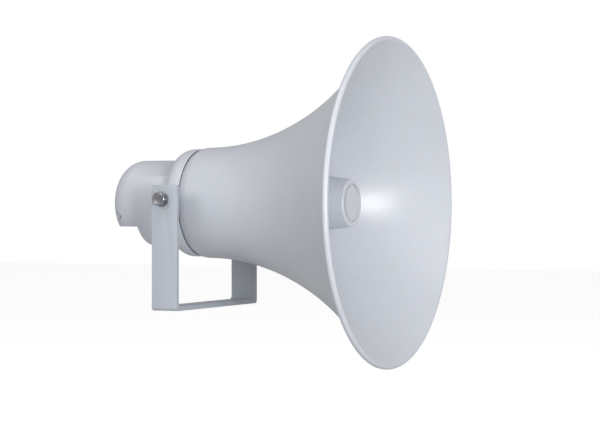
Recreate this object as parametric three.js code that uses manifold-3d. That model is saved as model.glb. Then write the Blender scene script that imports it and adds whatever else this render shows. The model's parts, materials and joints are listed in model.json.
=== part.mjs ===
// A 350 mm reflex horn loudspeaker on a U bracket: the bell, the folded sound path inside it,
// a compression driver with its line transformer in a rear housing, and the tilt hinge between
// them. Millimetres. The origin is the centre of the bracket's underside, +Z is up and +X is the
// way the mouth faces. The horn's pieces are made around its own axis, X, with the tilt axis at
// x = 0, and then put in place.
import * as THREE from "three";
import { mergeVertices } from "three/addons/utils/BufferGeometryUtils.js";
import Module from "manifold-3d";

const wasm = await Module();
wasm.setup();

// ---- clearances ----
const seat = 0.3; // between two pieces that are clamped or glued together
const slip = 0.3; // between a hole's wall and the screw, spigot or shaft inside it

// ---- U bracket ----
const bracketWidth = 192; // over the outsides of its legs
const stripWidth = 30;
const stripThickness = 4.5;
const bracketBend = { inside: 4.5, outside: 4 }; // pressed to a tight outside corner
const pivotHeight = 118; // tilt axis above the underside
const pivotSetback = 2.5; // tilt axis behind the middle of the strip
const legPastPivot = 15;
const centreHoleRadius = 5.25;
const sideHoleRadius = 4.25;
const sideHoleOffset = 40;

// ---- tilt hinge ----
const tiltBoltRadius = 4;
const tiltHeadFlats = 13;
const tiltHeadHeight = 5.3;
const flatWasher = { radius: 8, thickness: 1.6 };
const springWasher = { radius: 7, thickness: 1.8, gap: 0.3 };
const frictionWasher = { radius: 12, thickness: 1.2 };
const weldNut = { flats: 14, thickness: 6.5 };
const boltPastNut = 1;

// ---- bell ----
const mouthRadius = 175; // outside of the rolled rim
const rimBeadRadius = 3.2;
const rimTuck = 0.94; // the flare's end lies this far inside the bead's centre line
const rimRoll = 215; // how far round the rim is rolled, in degrees
const bellWall = 1.6;
const neckRadius = 60.4;
const shoulderRadius = 20; // rounds the neck into the flat base
const neckX = 9.7; // where the shoulder ends and the flare begins, from the tilt axis
const flareLength = 213.3;
const lipRise = 11; // how much the last part of the flare adds to its even curve
const lipPower = 7; // how late and how sharply it does so
const hornDrop = 4; // horn axis below the tilt axis

// ---- stay plate between bell and driver; the insets are from the edge of the bell's flat base ----
const bellGasket = { inset: 2.4, boreGap: 7.5, thickness: 0.7 };
const stay = { inset: 1.4, thickness: 3, armHeight: 28, bend: 3, earReach: 14 };
const clampInset = 9.4;
const clampScrew = { radius: 2.5, head: 4.6, headHeight: 3.2, count: 4, depthInBase: 4.5 };

// ---- folded sound path ----
const throatRadius = 10;
const toneWall = 2.2;
const toneFlange = { inset: 3.4, thickness: 2.5 };
const toneFillet = 2;
const toneMouthRadius = 16.5; // inside, at the front end
const toneLength = 156; // flange face to the front end
const reflectorRadius = 25.2; // front face
const reflectorRearRadius = 44;
const reflectorLength = 147;
const reflectorWall = 1.6;
const reflectorFront = 6; // thickness of its closed end
const reflectorEdge = 2;
const reflectorFillet = 4; // inside, between its wall and its closed end
const reflectorSetback = 46; // its front face behind the rim bead's centre
const reflectorCap = { radius: 20.1, thickness: 1.2 };
const reflectorScrew = { radius: 2.5, head: 4.6, headHeight: 2, depthInHub: 12 };
const spider = { ringWall: 2, ringOverlap: 8, armWidth: 2.4, armDepth: 6, hub: 6, arms: 3 };

// ---- driver base ----
const baseThickness = 6.6;
const rimReach = 13; // how far its rim comes forward around the bell's shoulder
const rimGap = 0.9; // between the rim and the bell's shoulder
const rimInsideFrom = 146; // where its inside starts around the shoulder, in degrees from +X
const rimEdge = 1.1; // thickness of its front edge
const rimStraight = 7.4;
const rimRoundTo = 158; // where the rounding of its outside ends, in degrees from +X
const armGap = 0.5; // around the stay plate's arms, where they pass through the rim
const baseLip = { reach: 2.7, wall: 1.2 }; // over the rear cover's front end
const phasePlug = { inset: 1.6, seatWidth: 3, slotInner: 9.4, slotOuter: 12, nose: 6.5 };
const phaseSlotHalf = 48; // degrees
const phaseNoseLength = 9;
const throatStraight = 1.5;
const coneDepth = 2.5;

// ---- moving coil ----
const coilInnerRadius = 18.6;
const coilThickness = 0.7;
const coilLength = 8;
const coilGap = 0.7; // each side of the coil
const coneTravel = 0.4; // each way
const domeRise = 2.5;
const domeThickness = 0.6;
const domeClearance = 1;
const surround = { width: 4.8, thickness: 0.6 };
const domeRim = 1.3;
const domeRimInset = 0.1; // its flat rim ends this far inside the gap's outer wall

// ---- magnet system ----
const diaphragmRingInset = 2.4;
const topPlateThickness = 6;
const magnetThickness = 13.5;
const magnetSetback = 2.5; // its bore is this much wider than the gap's outer wall, each side
const yokeThickness = 6;
const ventRadius = 4;
const motorScrew = { radius: 1.75, head: 2.9, headHeight: 2.4, count: 3, depthInBase: 4.5 };
const motorScrewOverhang = 0.2; // its head may pass the plate's edge by this much
const yokeInset = 1; // the yoke's edge inside the magnet's

// ---- rear cover ----
const coverRadius = 46.8;
const coverWall = 2.2;
const coverLength = 73.9;
const coverRound = 25.9;
const coverGasketThickness = 0.8;
const notchDepth = 34.6; // length of the cable notch, from the rear end
const notchTop = 26; // its roof below the horn axis
const coverScrew = { radius: 2, head: 3.6, headHeight: 2.6, depthInBase: 4.5 };
const coverScrewInset = 1.4; // between a screw's side and the cover's inside
const coverScrewTurns = [0, -110, 110]; // from the top
const coverBoss = { radius: 5.4, wall: 3, fromRound: 6 };
const selectorCup = { radius: 12, depth: 6 };

// ---- line transformer, terminals and tap switch ----
const frameSheet = 1.5;
const core = { width: 37, height: 30, depth: 14, leg: 6 };
const coreCentreZ = 5;
const windingOverhang = 4;
const windingGap = 0.6; // between the winding and the frame's plate
const frameReach = 29;
const frameScrew = { radius: 1.5, head: 2.8, headHeight: 2, depth: 5, z: -8, fromEdge: 0.5 };
const frameFoot = 4; // how far its plate reaches below the core
const terminalBlock = { width: 22, height: 10, depth: 9.5, z: 29, poles: 2, screw: 2.2 };
const tapSwitch = { radius: 10, depth: 9.5, floor: 2 };
const selector = { radius: 9, thickness: 4, shaft: 2.5, slotWidth: 2, slotDepth: 1.6, slotEnd: 2 };

// ---- cable gland ----
const gland = { z: -35.5, radius: 5, flats: 14, hexThickness: 3, tubeRear: 2.5, sealSeat: 1 };
const glandNut = { radius: 6.2, length: 4.2, chamfer: 1.2 };
const glandLocknut = 3.5;
const tubePastLocknut = 1;
const cableRadius = 3;
const glandSealRadius = 4.2;

const leadRadius = 0.7;

// ---- worked out from the sizes above ----
const hornHeight = pivotHeight - hornDrop;
const legOutside = bracketWidth / 2;
const legInside = legOutside - stripThickness;
const tiltHole = tiltBoltRadius + slip;
const bellRear = neckX - shoulderRadius;
const flatRadius = neckRadius - shoulderRadius;
const clampCircle = flatRadius - clampInset;
const toneSpigotRadius = throatRadius + toneWall;
const bellInsideRear = bellRear + bellWall;
const gasketFront = bellRear - seat;
const stayFront = gasketFront - bellGasket.thickness - seat;
const stayRear = stayFront - stay.thickness;
const baseFront = stayRear - seat;
const baseRear = baseFront - baseThickness;
const rimFront = baseFront + rimReach;
const rimInsideRadius = shoulderRadius + rimGap;
const rimDepth = Math.sqrt(rimInsideRadius ** 2 - (rimFront - neckX) ** 2);
const baseRadius = flatRadius + rimDepth + rimEdge;
const toneRear = bellInsideRear + seat;
const toneFront = toneRear + toneLength;
const earOutside = legInside - seat - frictionWasher.thickness - seat;
const earInside = earOutside - stay.thickness;
const coilOuterRadius = coilInnerRadius + coilThickness;
const plugRadius = coilInnerRadius - phasePlug.inset;
const poleRadius = coilInnerRadius - coilGap;
const gapRadius = coilOuterRadius + coilGap;
const magnetInner = gapRadius + magnetSetback;
const diaphragmRingFront = baseRear - seat;
const domeApex = baseRear - domeClearance;
const domeBase = domeApex - domeRise;
const surroundFront = domeBase - domeRim + surround.thickness + seat;
const topPlateFront = surroundFront - surround.thickness - seat;
const topPlateRear = topPlateFront - topPlateThickness;
const magnetFront = topPlateRear - seat;
const magnetRear = magnetFront - magnetThickness;
const yokeFront = magnetRear - seat;
const yokeRear = yokeFront - yokeThickness;
const coverInside = coverRadius - coverWall;
const coverFront = baseRear - seat - coverGasketThickness - seat;
const coverRear = coverFront - coverLength;
const stepX = coverRear + notchDepth;
const coverScrewCircle = coverInside - coverScrew.radius - coverScrewInset;
const topPlateRadius = coverScrewCircle - coverScrew.radius - slip;
const motorScrewCircle = topPlateRadius - motorScrew.head + motorScrewOverhang;
const magnetRadius = motorScrewCircle - motorScrew.head - slip;
const yokeRadius = magnetRadius - yokeInset;
const frameFront = yokeRear - seat;
const frameRear = frameFront - frameSheet;
const windingFront = frameRear - windingGap;
const coreFront = windingFront - windingOverhang;
const coreRear = coreFront - core.depth;
const cupFloor = coverRear + selectorCup.depth;
const switchRear = cupFloor + coverWall + seat;
const bossFront = coverRear + coverRound - coverBoss.fromRound;
const coverHeadSeat = bossFront - coverBoss.wall;

// ---- finishes ----
const finish = (color, roughness, metalness) =>
  new THREE.MeshStandardMaterial({ color, roughness, metalness });
const greyCoat = finish("#bfc4cb", 0.45, 0.05);
const brightSteel = finish("#8e9094", 0.3, 0.9);
const zincPlate = finish("#a8aaa8", 0.4, 0.8);
const blackRubber = finish("#1f2022", 0.85, 0);
const moulded = finish("#2c2d30", 0.55, 0);
const ferrite = finish("#3a3a3c", 0.7, 0.1);
const phenolic = finish("#8a5a32", 0.6, 0);
const copper = finish("#b87340", 0.4, 0.8);
const laminations = finish("#5d6064", 0.5, 0.6);
const redLead = finish("#a83228", 0.6, 0);

// ---- making and cutting solids ----
const rad = THREE.MathUtils.degToRad;
const X = new THREE.Vector3(1, 0, 0);
const Y = new THREE.Vector3(0, 1, 0);
const Z = new THREE.Vector3(0, 0, 1);

// Points [position, radius] on an arc around [position, radius], angles in degrees from +position.
function arc([p, r], radius, from, to, steps) {
  const angle = (i) => rad(from + ((to - from) * i) / steps);
  const point = (i) => [p + radius * Math.cos(angle(i)), r + radius * Math.sin(angle(i))];
  return Array.from({ length: steps + 1 }, (_, i) => point(i));
}

// A solid of revolution about X or Y from its outline, a list of [position along it, radius].
function turned(axis, outline, sides) {
  const points = outline.map(([p, r]) => new THREE.Vector2(r, p));
  if (THREE.ShapeUtils.isClockWise(points)) points.reverse();
  const onAxis = points[0].x === 0 && points.at(-1).x === 0;
  if (!onAxis) points.push(points[0].clone());
  const geometry = new THREE.LatheGeometry(points, sides);
  return axis === X ? geometry.rotateZ(-Math.PI / 2) : geometry;
}

const rod = (axis, radius, from, to, sides = 16) =>
  turned(axis, [[from, 0], [from, radius], [to, radius], [to, 0]], sides);

const ring = (axis, inner, outer, from, to, sides = 24) =>
  turned(axis, [[from, inner], [from, outer], [to, outer], [to, inner]], sides);

const hexagon = (axis, flats, from, to) =>
  rod(axis, flats / Math.sqrt(3), from, to, 6);

function box(x, y, z) {
  const size = [x, y, z].map(([from, to]) => to - from);
  const centre = [x, y, z].map(([from, to]) => (from + to) / 2);
  return new THREE.BoxGeometry(...size).translate(...centre);
}

function solidOf(geometry) {
  const bare = new THREE.BufferGeometry().setAttribute("position", geometry.attributes.position);
  bare.setIndex(geometry.index);
  const merged = mergeVertices(bare, 1e-4);
  const triVerts = new Uint32Array(merged.index.array);
  const vertProperties = new Float32Array(merged.attributes.position.array);
  return new wasm.Manifold(new wasm.Mesh({ numProp: 3, vertProperties, triVerts }));
}

function geometryOf(solid) {
  const mesh = solid.getMesh();
  const positions = new THREE.BufferAttribute(new Float32Array(mesh.vertProperties), mesh.numProp);
  const geometry = new THREE.BufferGeometry().setAttribute("position", positions);
  geometry.setIndex(new THREE.BufferAttribute(new Uint32Array(mesh.triVerts), 1));
  return geometry;
}

const join = (first, ...others) =>
  geometryOf(others.reduce((sum, other) => sum.add(solidOf(other)), solidOf(first)));
const cut = (first, ...tools) =>
  geometryOf(tools.reduce((rest, tool) => rest.subtract(solidOf(tool)), solidOf(first)));

// Copies of a geometry turned about X to each of the given angles.
const turnedTo = (angles, geometry) =>
  angles.map((angle) => geometry.clone().rotateX(rad(angle)));
const evenAngles = (count, first) =>
  Array.from({ length: count }, (_, i) => first + (360 / count) * i);

// A strip bent into a U: its outline is open upwards, with the middle of its back at the origin.
function bentStrip(width, height, thickness, { inside, outside }) {
  const half = width / 2;
  const inset = inside + thickness;
  const shape = new THREE.Shape();
  shape.moveTo(-half, height);
  shape.lineTo(-half, outside);
  shape.absarc(-half + outside, outside, outside, Math.PI, Math.PI * 1.5, false);
  shape.absarc(half - outside, outside, outside, Math.PI * 1.5, Math.PI * 2, false);
  shape.lineTo(half, height);
  shape.lineTo(half - thickness, height);
  shape.absarc(half - inset, inset, inside, 0, -Math.PI / 2, true);
  shape.absarc(-half + inset, inset, inside, -Math.PI / 2, -Math.PI, true);
  shape.lineTo(-half + thickness, height);
  return shape;
}

const extruded = (shape, depth, curveSegments = 6) =>
  new THREE.ExtrudeGeometry(shape, { depth, bevelEnabled: false, curveSegments });

// ---- the assembly ----
const speaker = new THREE.Group();
const horn = new THREE.Group();
horn.position.set(-pivotSetback, 0, hornHeight);
speaker.add(horn);

function add(parent, name, geometry, material) {
  const mesh = new THREE.Mesh(geometry, material);
  mesh.name = name;
  parent.add(mesh);
  return mesh;
}

// ---- U bracket ----
function makeBracket() {
  const outline = bentStrip(bracketWidth, pivotHeight + legPastPivot, stripThickness, bracketBend);
  const strip = extruded(outline, stripWidth).translate(0, 0, -stripWidth / 2);
  strip.applyMatrix4(new THREE.Matrix4().makeBasis(Y, Z, X));
  const pivotHole = rod(Y, tiltHole, -legOutside - 1, legOutside + 1);
  pivotHole.translate(-pivotSetback, 0, pivotHeight);
  const baseHole = (radius, y) =>
    rod(X, radius, -1, stripThickness + 1).rotateY(-Math.PI / 2).translate(0, y, 0);
  const sideHoles = [-sideHoleOffset, sideHoleOffset].map((y) => baseHole(sideHoleRadius, y));
  return cut(strip, pivotHole, baseHole(centreHoleRadius, 0), ...sideHoles);
}
add(speaker, "u_bracket", makeBracket(), greyCoat);

// ---- tilt hinge: outwards from each ear of the stay plate ----
function makeSpringWasher(from) {
  const { radius, thickness, gap } = springWasher;
  const shape = new THREE.Shape();
  shape.absarc(0, 0, radius, gap, Math.PI * 2 - gap, false);
  shape.absarc(0, 0, tiltHole, Math.PI * 2 - gap, gap, true);
  return extruded(shape, thickness, 20).rotateX(-Math.PI / 2).translate(0, from, 0);
}

function makeTiltBolt(headFrom) {
  const shankTo = earInside - seat - weldNut.thickness - boltPastNut;
  const head = hexagon(Y, tiltHeadFlats, headFrom, headFrom + tiltHeadHeight);
  return join(head, rod(Y, tiltBoltRadius, shankTo, headFrom + 1));
}

// side is -1 on the right of a listener facing the mouth, and 1 on the left.
function addTiltHinge(side, word) {
  const at = (parent, x, z) => {
    const group = new THREE.Group();
    group.position.set(x, 0, z);
    group.rotation.z = side > 0 ? 0 : Math.PI;
    parent.add(group);
    return group;
  };
  const onBracket = at(speaker, -pivotSetback, pivotHeight);
  const onHorn = at(horn, 0, hornDrop);
  const frictionFrom = earOutside + seat;
  const frictionTo = frictionFrom + frictionWasher.thickness;
  const flatFrom = legOutside + seat;
  const flatTo = flatFrom + flatWasher.thickness;
  const springFrom = flatTo + seat;
  const headFrom = springFrom + springWasher.thickness + seat;
  const nutTo = earInside - seat;
  const nut = hexagon(Y, weldNut.flats, nutTo - weldNut.thickness, nutTo);
  const nutBore = rod(Y, tiltHole, nutTo - weldNut.thickness - 1, nutTo + 1);
  const frictionRing = ring(Y, tiltHole, frictionWasher.radius, frictionFrom, frictionTo);
  const flatRing = ring(Y, tiltHole, flatWasher.radius, flatFrom, flatTo);
  add(onBracket, `friction_washer_${word}`, frictionRing, moulded);
  add(onBracket, `flat_washer_${word}`, flatRing, zincPlate);
  add(onHorn, `spring_washer_${word}`, makeSpringWasher(springFrom), brightSteel);
  add(onHorn, `tilt_bolt_${word}`, makeTiltBolt(headFrom), brightSteel);
  add(onHorn, `weld_nut_${word}`, cut(nut, nutBore), zincPlate);
}
addTiltHinge(-1, "right");
addTiltHinge(1, "left");

// ---- bell ----
// The flare starts as a parabola and turns outwards faster towards the rim. t runs from 0 to 1.
const evenRise = mouthRadius - rimBeadRadius - rimTuck - neckRadius - lipRise;
const flareRise = (t) => 2 * evenRise * t + lipPower * lipRise * t ** (lipPower - 1);
const flareAngle = (t) => Math.atan2(flareRise(t), flareLength);
function flarePoint(t, inward) {
  const angle = flareAngle(t);
  const x = neckX + flareLength * t;
  const radius = neckRadius + evenRise * t ** 2 + lipRise * t ** lipPower;
  return [x + inward * Math.sin(angle), radius - inward * Math.cos(angle)];
}

const shoulder = [neckX, flatRadius];

function makeBell() {
  const steps = 8; // closer together towards the rim, where the flare bends most
  const share = (i) => Math.sin(((i + 1) * Math.PI) / (2 * steps));
  const parts = Array.from({ length: steps - 1 }, (_, i) => share(i));
  const outside = parts.map((t) => flarePoint(t, 0));
  const inside = parts.map((t) => flarePoint(t, bellWall)).reverse();
  const bead = flarePoint(1, bellWall - rimBeadRadius);
  const beadFace = THREE.MathUtils.radToDeg(flareAngle(1)) - 90;
  const outline = [
    [bellRear, toneSpigotRadius + slip],
    ...arc(shoulder, shoulderRadius, 180, 90, 5),
    ...outside,
    ...arc(bead, rimBeadRadius, beadFace + rimRoll, beadFace, 6),
    ...inside,
    ...arc(shoulder, shoulderRadius - bellWall, 90, 180, 5),
    [bellInsideRear, toneSpigotRadius + slip],
  ];
  return cut(turned(X, outline, 48), ...clampHoles(bellRear - 1, bellInsideRear + 1));
}

// ---- pieces clamped behind the bell ----
const clampAngles = evenAngles(clampScrew.count, 45);
function clampHoles(from, to) {
  const hole = rod(X, clampScrew.radius + slip, from, to, 8).translate(0, 0, clampCircle);
  return turnedTo(clampAngles, hole);
}

function makeBellGasket() {
  const { inset, boreGap, thickness } = bellGasket;
  const inner = toneSpigotRadius + slip + boreGap;
  const sheet = ring(X, inner, flatRadius - inset, gasketFront - thickness, gasketFront);
  return cut(sheet, ...clampHoles(gasketFront - thickness - 1, gasketFront + 1));
}

function makeStayPlate() {
  const height = stay.earReach - stayRear;
  const bends = { inside: stay.bend, outside: stay.bend + stay.thickness };
  const outline = bentStrip(earOutside * 2, height, stay.thickness, bends);
  const arms = extruded(outline, stay.armHeight).translate(0, 0, -stay.armHeight / 2);
  arms.applyMatrix4(new THREE.Matrix4().makeBasis(Y, X, Z.clone().negate()));
  arms.translate(stayRear, 0, hornDrop);
  const disc = rod(X, flatRadius - stay.inset, stayRear, stayFront, 40);
  const earHole = rod(Y, tiltHole, -earOutside - 1, earOutside + 1).translate(0, 0, hornDrop);
  const throat = rod(X, toneSpigotRadius + slip, stayRear - 1, stayFront + 1, 32);
  return cut(join(arms, disc), earHole, throat, ...clampHoles(stayRear - 1, stayFront + 1));
}

add(horn, "horn_bell", makeBell(), greyCoat);
add(horn, "bell_gasket", makeBellGasket(), blackRubber);
add(horn, "stay_plate", makeStayPlate(), greyCoat);

// ---- screws: head behind the given face, pointing along -X into the thread ----
function makeScrew({ radius, head, headHeight }, face, tip) {
  const outline = [
    [tip, 0],
    [tip, radius * 0.7],
    [tip + radius * 0.6, radius],
    [face, radius],
    [face, head],
    [face + headHeight, head * 0.8],
    [face + headHeight, 0],
  ];
  return turned(X, outline, 10);
}

const clampTip = baseFront - clampScrew.depthInBase;
const clampScrewShape = makeScrew(clampScrew, toneRear + toneFlange.thickness + seat, clampTip);
clampScrewShape.translate(0, 0, clampCircle);
turnedTo(clampAngles, clampScrewShape).forEach((shape, i) =>
  add(horn, `clamp_screw_${i + 1}`, shape, zincPlate),
);

// ---- tone tube, reflector and the spider that joins them ----
function makeToneTube() {
  const flangeFace = toneRear + toneFlange.thickness;
  const flangeRadius = flatRadius - toneFlange.inset;
  const outline = [
    [stayRear, throatRadius],
    [stayRear, toneSpigotRadius],
    [toneRear, toneSpigotRadius],
    [toneRear, flangeRadius],
    [flangeFace, flangeRadius],
    [flangeFace, toneSpigotRadius + toneFillet],
    [flangeFace + toneFillet, toneSpigotRadius],
    [toneFront, toneMouthRadius + toneWall],
    [toneFront, toneMouthRadius],
  ];
  return cut(turned(X, outline, 24), ...clampHoles(toneRear - 1, flangeFace + 3));
}
add(horn, "tone_tube", makeToneTube(), moulded);

const reflectorFace = neckX + flareLength - reflectorSetback;
const reflectorRear = reflectorFace - reflectorLength;
const capRecess = reflectorCap.thickness + seat;
const reflectorInsideFront = reflectorFace - reflectorFront;
const screwSeat = reflectorFace - capRecess - reflectorScrew.headHeight - 2 * seat;

function makeReflector() {
  const taper = (reflectorRearRadius - reflectorRadius) / reflectorLength;
  const innerAt = (x) => reflectorRadius + taper * (reflectorFace - x) - reflectorWall;
  const edge = [reflectorFace - reflectorEdge, reflectorRadius - reflectorEdge];
  const headRoom = reflectorScrew.head + slip;
  const outline = [
    [reflectorRear, innerAt(reflectorRear)],
    [reflectorRear, reflectorRearRadius],
    ...arc(edge, reflectorEdge, 90, 0, 3),
    [reflectorFace, reflectorCap.radius + slip],
    [reflectorFace - capRecess, reflectorCap.radius + slip],
    [reflectorFace - capRecess, headRoom],
    [screwSeat, headRoom],
    [screwSeat, reflectorScrew.radius + slip],
    [reflectorInsideFront, reflectorScrew.radius + slip],
    [reflectorInsideFront, innerAt(reflectorInsideFront) - reflectorFillet],
    [reflectorInsideFront - reflectorFillet, innerAt(reflectorInsideFront - reflectorFillet)],
  ];
  return turned(X, outline, 32);
}

// Its ring slips over the tone tube's end, and its hub carries the reflector.
function makeSpider() {
  const bore = toneMouthRadius + toneWall + slip;
  const outer = bore + spider.ringWall;
  const armsFrom = toneFront + seat;
  const armsTo = armsFrom + spider.armDepth;
  const screwHole = reflectorScrew.radius + slip;
  const band = ring(X, bore, outer, toneFront - spider.ringOverlap, armsTo, 24);
  const hub = ring(X, screwHole, spider.hub, armsFrom, reflectorInsideFront - seat, 16);
  const halfArm = spider.armWidth / 2;
  const arm = box([armsFrom, armsTo], [-halfArm, halfArm], [spider.hub - 1, bore + 1]);
  return join(band, hub, ...turnedTo(evenAngles(spider.arms, 0), arm));
}

const reflectorScrewTip = reflectorInsideFront - reflectorScrew.depthInHub;
const capFrom = reflectorFace - reflectorCap.thickness;
add(horn, "reflector_cup", makeReflector(), greyCoat);
add(horn, "reflector_spider", makeSpider(), moulded);
add(horn, "reflector_screw", makeScrew(reflectorScrew, screwSeat + seat, reflectorScrewTip), zincPlate);
add(horn, "reflector_cap", rod(X, reflectorCap.radius, capFrom, reflectorFace, 32), greyCoat);

// ---- driver base: the cast ring behind the bell, with the throat through it ----
const motorAngles = evenAngles(motorScrew.count, 30);

// The rim's outside, from its front edge to the end of the lip over the rear cover.
function rimOutside() {
  const roundFrom = rimFront - rimStraight;
  const lipRear = baseRear - baseLip.reach;
  const lipOuter = coverRadius + slip + baseLip.wall;
  const quarter = arc([0, 0], 1, 90, rimRoundTo, 5);
  const [endX, endR] = quarter.at(-1);
  const rounding = quarter.map(([x, r]) => [
    roundFrom + (lipRear - roundFrom) * (x / endX),
    lipOuter + (baseRadius - lipOuter) * ((r - endR) / (1 - endR)),
  ]);
  return [[rimFront, baseRadius], ...rounding];
}

// Its inside, around the bell's shoulder.
function rimInside() {
  const to = THREE.MathUtils.radToDeg(Math.acos((rimFront - neckX) / rimInsideRadius));
  const inside = arc(shoulder, rimInsideRadius, rimInsideFrom, to, 4);
  return [[baseFront, inside[0][1]], ...inside];
}

function makeDriverBase() {
  const lipInner = coverRadius + slip;
  const seatRadius = plugRadius + slip;
  const outline = [
    [baseFront, throatRadius],
    ...rimInside(),
    ...rimOutside(),
    [baseRear - baseLip.reach, lipInner],
    [baseRear, lipInner],
    [baseRear, seatRadius],
    [baseFront - throatStraight - coneDepth, seatRadius],
    [baseFront - throatStraight - coneDepth, seatRadius - phasePlug.seatWidth],
    [baseFront - throatStraight, throatRadius],
  ];
  const tapped = (screw, circle) =>
    rod(X, screw.radius + slip, baseRear - 1, baseRear + screw.depthInBase + 1, 8)
      .translate(0, 0, circle);
  const armHalf = stay.armHeight / 2 + armGap;
  const armPassage = box(
    [baseFront, rimFront + 1],
    [-baseRadius - 1, baseRadius + 1],
    [hornDrop - armHalf, hornDrop + armHalf],
  );
  return cut(
    turned(X, outline, 48),
    armPassage,
    ...clampHoles(clampTip - 1, baseFront + 1),
    ...turnedTo(motorAngles, tapped(motorScrew, motorScrewCircle)),
    ...turnedTo(coverScrewTurns, tapped(coverScrew, coverScrewCircle)),
  );
}
add(horn, "driver_base", makeDriverBase(), greyCoat);

// ---- phase plug: a bullet in the throat, inside a slotted ring that faces the dome ----
const domeCurve = (coilInnerRadius ** 2 + domeRise ** 2) / (2 * domeRise);
const domeX = (apex, r) => apex - domeCurve + Math.sqrt(domeCurve ** 2 - r ** 2);
const plugFront = baseFront - throatStraight - coneDepth - seat;

function makePhasePlug() {
  const { slotInner, slotOuter, nose } = phasePlug;
  const rearApex = domeApex + domeClearance;
  const rearSteps = [1, 0.75, 0.5, 0.25];
  const outline = [
    [plugFront + phaseNoseLength, 0],
    [plugFront + phaseNoseLength * 0.6, nose * 0.55],
    [plugFront, nose],
    [plugFront, plugRadius],
    ...rearSteps.map((share) => [domeX(rearApex, plugRadius * share), plugRadius * share]),
    [rearApex, 0],
  ];
  const slot = new THREE.Shape();
  const halfSlot = rad(phaseSlotHalf);
  slot.absarc(0, 0, slotOuter, -halfSlot, halfSlot, false);
  slot.absarc(0, 0, slotInner, halfSlot, -halfSlot, true);
  const slotTool = extruded(slot, baseThickness * 2, 6).rotateY(Math.PI / 2);
  slotTool.translate(baseRear - baseThickness, 0, 0);
  return cut(turned(X, outline, 24), ...turnedTo(evenAngles(3, 0), slotTool));
}
add(horn, "phase_plug", makePhasePlug(), moulded);

// ---- moving coil assembly and its surround ----
const domeRimRadius = gapRadius - domeRimInset;

function makeDome() {
  const shares = [0, 0.35, 0.7, 1];
  const front = shares.map((share) => {
    const r = coilInnerRadius * share;
    return [domeX(domeApex, r), r];
  });
  const rear = [...shares].reverse().map((share) => {
    const r = (coilInnerRadius - domeThickness) * share;
    return [domeX(domeApex, r) - domeThickness, r];
  });
  const rim = [
    [domeBase, domeRimRadius],
    [domeBase - domeRim, domeRimRadius],
    [domeBase - domeRim, coilInnerRadius - domeThickness],
  ];
  return turned(X, [...front, ...rim, ...rear], 24);
}

const coilFront = domeBase - domeRim - seat;
const surroundInner = domeRimRadius + slip;
const surroundOuter = surroundInner + surround.width;
add(horn, "diaphragm_dome", makeDome(), phenolic);
add(horn, "voice_coil",
  ring(X, coilInnerRadius, coilOuterRadius, coilFront - coilLength, coilFront), copper);
add(horn, "diaphragm_surround",
  ring(X, surroundInner, surroundOuter, surroundFront - surround.thickness, surroundFront), phenolic);

// ---- magnet system ----
function motorHoles(from, to) {
  const hole = rod(X, motorScrew.radius + slip, from, to, 8).translate(0, 0, motorScrewCircle);
  return turnedTo(motorAngles, hole);
}

const ringInner = surroundOuter - diaphragmRingInset;
const diaphragmRing = ring(X, ringInner, topPlateRadius, surroundFront + seat, diaphragmRingFront, 32);
add(horn, "diaphragm_ring",
  cut(diaphragmRing, ...motorHoles(surroundFront - 1, diaphragmRingFront + 1)), moulded);

const topPlate = ring(X, gapRadius, topPlateRadius, topPlateRear, topPlateFront, 32);
add(horn, "top_plate",
  cut(topPlate, ...motorHoles(topPlateRear - 1, topPlateFront + 1)), zincPlate);
add(horn, "ring_magnet", ring(X, magnetInner, magnetRadius, magnetRear, magnetFront, 32), ferrite);

function makeYoke() {
  const poleFront = domeBase - domeRim - domeThickness - 2 * coneTravel;
  const outline = [
    [yokeRear, ventRadius],
    [yokeRear, yokeRadius],
    [yokeFront, yokeRadius],
    [yokeFront, poleRadius],
    [poleFront, poleRadius],
    [poleFront, ventRadius],
  ];
  return cut(turned(X, outline, 32), ...frameScrewHoles(yokeRear - 1, yokeRear + frameScrew.depth + 1));
}

// The motor's screws come in from behind, through its top plate and ring, into the base.
const motorScrewShape = makeScrew(motorScrew, 0, topPlateRear - seat - baseRear - motorScrew.depthInBase);
motorScrewShape.rotateZ(Math.PI).translate(topPlateRear - seat, 0, motorScrewCircle);
turnedTo(motorAngles, motorScrewShape).forEach((shape, i) =>
  add(horn, `motor_screw_${i + 1}`, shape, zincPlate),
);

// ---- transformer frame: a plate on the yoke, with a cheek on each side of the core ----
const frameScrewY = frameReach - frameScrew.head - frameScrew.fromEdge;
function frameScrewHoles(from, to) {
  const hole = rod(X, frameScrew.radius + slip, from, to, 8);
  return [-1, 1].map((side) => hole.clone().translate(0, side * frameScrewY, frameScrew.z));
}

function makeFrame() {
  const coreTop = coreCentreZ + core.height / 2;
  const coreBottom = coreCentreZ - core.height / 2;
  const cheekInner = core.width / 2 + seat;
  const plateHeight = [coreBottom - frameFoot, coreTop];
  const plate = box([frameRear, frameFront], [-frameReach, frameReach], plateHeight);
  const tongueHalf = terminalBlock.width / 2;
  const tongueTop = terminalBlock.z + terminalBlock.height / 2;
  const tongue = box([frameRear, frameFront], [-tongueHalf, tongueHalf], [coreTop - 1, tongueTop]);
  const cheeks = [-1, 1].map((side) => {
    const inner = side * cheekInner;
    const outer = side * (cheekInner + frameSheet);
    const y = [Math.min(inner, outer), Math.max(inner, outer)];
    return box([coreRear, frameFront], y, [coreBottom, coreTop]);
  });
  return cut(join(plate, tongue, ...cheeks), ...frameScrewHoles(frameRear - 1, frameFront + 1));
}

add(horn, "back_yoke", makeYoke(), zincPlate);
add(horn, "transformer_frame", makeFrame(), zincPlate);

const frameScrewShape = makeScrew(frameScrew, 0, frameRear - seat - yokeRear - frameScrew.depth);
frameScrewShape.rotateZ(Math.PI).translate(frameRear - seat, 0, frameScrew.z);
[-1, 1].forEach((side, i) => {
  const shape = frameScrewShape.clone().translate(0, side * frameScrewY, 0);
  add(horn, `frame_screw_${i + 1}`, shape, zincPlate);
});

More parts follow.
